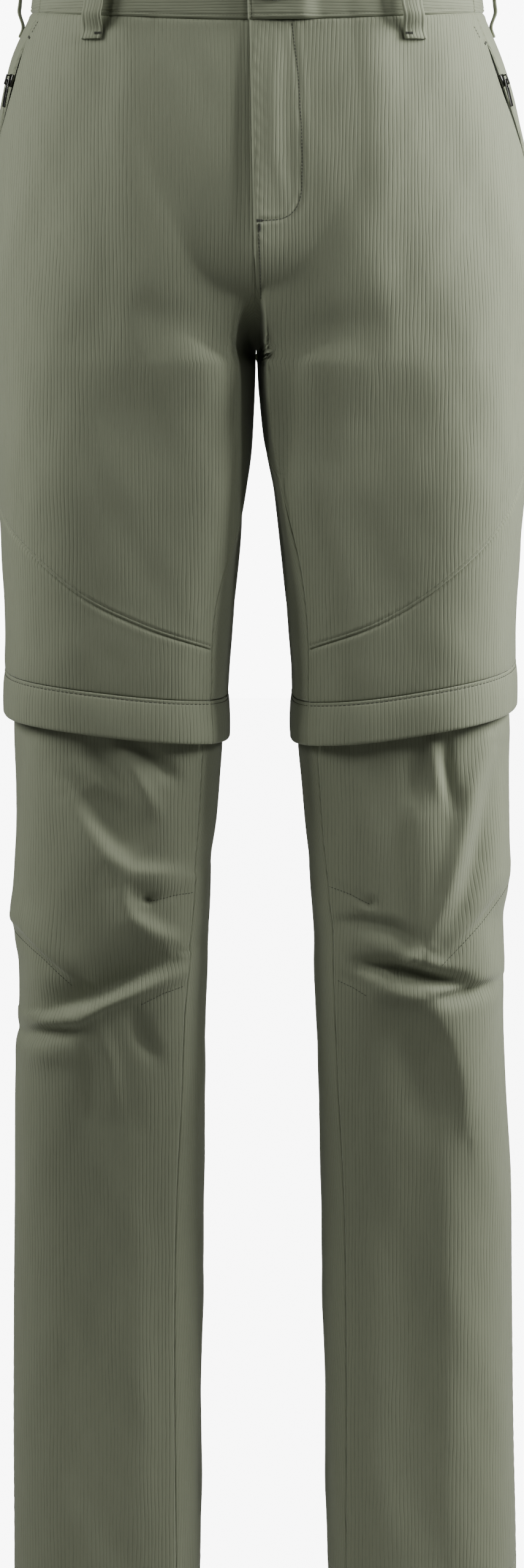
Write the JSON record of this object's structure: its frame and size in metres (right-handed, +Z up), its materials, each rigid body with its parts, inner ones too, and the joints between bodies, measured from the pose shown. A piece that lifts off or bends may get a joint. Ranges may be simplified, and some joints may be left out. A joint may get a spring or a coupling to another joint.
{
  "type": "trekking trousers",
  "caption": "Full-length trekking trousers in their worn form, with zipped side pockets and lower legs that part at covered zips above the knee.",
  "frame": {"origin": "middle of the waist opening, level with the top of the waistband at the sides", "axes": "+X towards the wearer's left, -Y to the front, +Z up; the legs run down -Z"},
  "size_m": [0.3577, 0.2519, 1.0898],
  "materials": {
    "rib_cloth": "matt ribbed stretch cloth, sage green",
    "band_cloth": "matt ribbed cloth with the ribs running around, sage green",
    "zip_tape": "dark woven tape with a moulded coil",
    "slider_metal": "satin metal",
    "button_metal": "satin metal"
  },
  "bodies": {
    "garment": {"waistband_right": "band_cloth", "waistband_left": "band_cloth", "waistband_back": "band_cloth", "fly_shield": "rib_cloth", "waist_button": "button_metal", "front_right": "rib_cloth", "back_right": "rib_cloth", "knee_panel_right": "rib_cloth", "flap_front_right": "rib_cloth", "flap_back_right": "rib_cloth", "shin_front_right": "rib_cloth", "shin_back_right": "rib_cloth", "leg_zip_right": "zip_tape", "pocket_zip_right": "zip_tape", "pocket_slider_right": "slider_metal", "front_left": "rib_cloth", "back_left": "rib_cloth", "knee_panel_left": "rib_cloth", "flap_front_left": "rib_cloth", "flap_back_left": "rib_cloth", "shin_front_left": "rib_cloth", "shin_back_left": "rib_cloth", "leg_zip_left": "zip_tape", "pocket_zip_left": "zip_tape", "pocket_slider_left": "slider_metal", "belt_loop_front_right": "rib_cloth", "belt_loop_front_left": "rib_cloth", "belt_loop_side_right": "rib_cloth", "belt_loop_side_left": "rib_cloth", "belt_loop_back": "rib_cloth"},
    "pull_right": {"pocket_pull_right": "slider_metal"},
    "pull_left": {"pocket_pull_left": "slider_metal"}
  },
  "joints": [
    {"name": "pocket_pull_right_swing", "type": "hinge", "parent": "garment", "child": "pull_right", "pos_m": [-0.16145, -0.0489, -0.08336], "axis": [-0.3213, 0.9321, 0.167], "range_deg": [0, 150]},
    {"name": "pocket_pull_left_swing", "type": "hinge", "parent": "garment", "child": "pull_left", "pos_m": [0.15484, -0.04892, -0.08319], "axis": [-0.316, -0.9295, -0.1904], "range_deg": [0, 150]}
  ]
}
